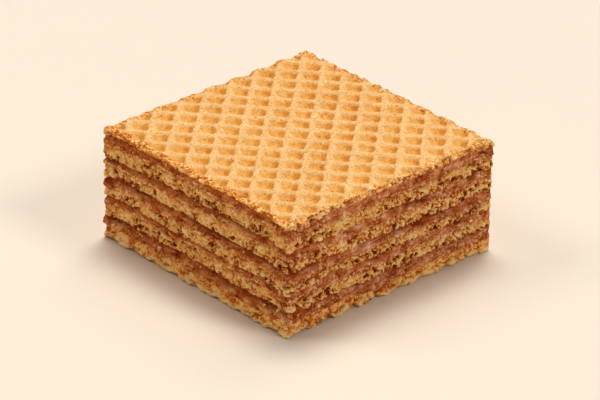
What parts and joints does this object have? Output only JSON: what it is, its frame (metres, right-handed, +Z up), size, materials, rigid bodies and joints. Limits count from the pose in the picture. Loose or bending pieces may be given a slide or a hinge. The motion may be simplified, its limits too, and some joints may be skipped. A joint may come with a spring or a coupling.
{
  "type": "filled wafer",
  "caption": "Square filled wafer: crisp baked sheets with a diamond waffle face, stacked by turns with nut cream and cut through so that the layers show on all four sides.",
  "frame": {"origin": "middle of the underside, at the centre of the block's box", "axes": "+Z up, out of the waffle face of the top sheet; +X and -Y out of the two cut sides that show best; X and Y lie along the square's sides"},
  "size_m": [0.0364, 0.0364, 0.0165],
  "materials": {
    "golden_crust": "matte baked wafer, pale gold on the ridges and orange in the pits",
    "wafer_crumb": "matte, open porous crumb at the cut sides",
    "nut_cream": "dull, slightly greasy fat cream, pinkish brown"
  },
  "bodies": {
    "root": {"wafer_1_top": "golden_crust", "cream_1": "nut_cream", "wafer_2": "wafer_crumb", "cream_2": "nut_cream", "wafer_3": "wafer_crumb", "cream_3": "nut_cream", "wafer_4": "wafer_crumb", "cream_4": "nut_cream", "wafer_5": "wafer_crumb", "cream_5": "nut_cream", "wafer_6_bottom": "golden_crust"}
  },
  "joints": []
}
